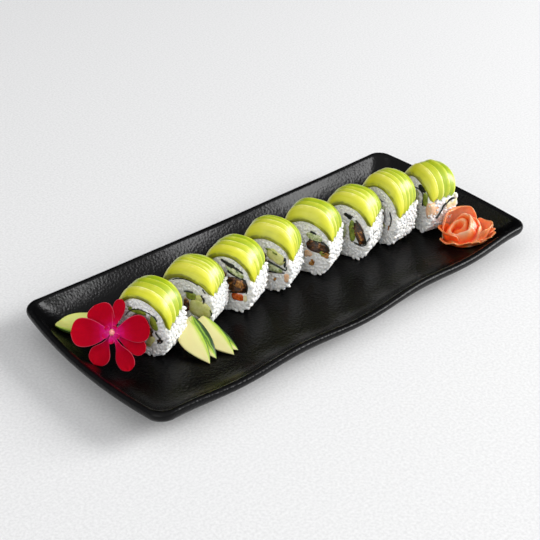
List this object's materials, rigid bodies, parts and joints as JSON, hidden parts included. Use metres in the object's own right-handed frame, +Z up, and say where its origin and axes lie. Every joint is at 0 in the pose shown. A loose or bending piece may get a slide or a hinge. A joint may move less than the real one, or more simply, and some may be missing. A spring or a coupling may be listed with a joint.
{
  "type": "uramaki rolls on a serving plate",
  "caption": "Row of sliced inside-out sushi rolls with avocado over the rice, on a long black plate with an orchid, sliced avocado and pickled ginger.",
  "frame": {"origin": "under the middle of the plate, on the surface that it stands on", "axes": "+X along the plate towards the ginger, +Y to the plate's far long side, +Z up"},
  "size_m": [0.3114, 0.1432, 0.0533],
  "materials": {
    "plate": "black melamine, semi-gloss, fine pebbled well",
    "rice": "cooked short-grain rice, moist",
    "nori": "pressed seaweed, moist, nearly black",
    "cucumber": "pale green flesh with a thin green skin, wet",
    "eel": "glazed dark brown fillet",
    "avocado": "ripe flesh, yellow inside to green under the skin",
    "petal": "crimson petals, velvety, magenta at the middle",
    "ginger": "thin translucent pink-orange slices, wet"
  },
  "bodies": {
    "root": {"plate": "plate", "roll_1_rice": "rice", "roll_1_nori": "nori", "roll_1_cucumber": "cucumber", "roll_1_eel": "eel", "roll_1_avocado": "avocado", "roll_2_rice": "rice", "roll_2_nori": "nori", "roll_2_cucumber": "cucumber", "roll_2_eel": "eel", "roll_2_avocado": "avocado", "roll_3_rice": "rice", "roll_3_nori": "nori", "roll_3_cucumber": "cucumber", "roll_3_eel": "eel", "roll_3_avocado": "avocado", "roll_4_rice": "rice", "roll_4_nori": "nori", "roll_4_cucumber": "cucumber", "roll_4_eel": "eel", "roll_4_avocado": "avocado", "roll_5_rice": "rice", "roll_5_nori": "nori", "roll_5_cucumber": "cucumber", "roll_5_eel": "eel", "roll_5_avocado": "avocado", "roll_6_rice": "rice", "roll_6_nori": "nori", "roll_6_cucumber": "cucumber", "roll_6_eel": "eel", "roll_6_avocado": "avocado", "roll_7_rice": "rice", "roll_7_nori": "nori", "roll_7_cucumber": "cucumber", "roll_7_eel": "eel", "roll_7_avocado": "avocado", "roll_8_rice": "rice", "roll_8_nori": "nori", "roll_8_cucumber": "cucumber", "roll_8_eel": "eel", "roll_8_avocado": "avocado", "avocado_slice_1": "avocado", "avocado_slice_2": "avocado", "avocado_slice_3": "avocado", "avocado_slice_4": "avocado", "avocado_slice_end": "avocado", "orchid": "petal", "ginger": "ginger"}
  },
  "joints": []
}
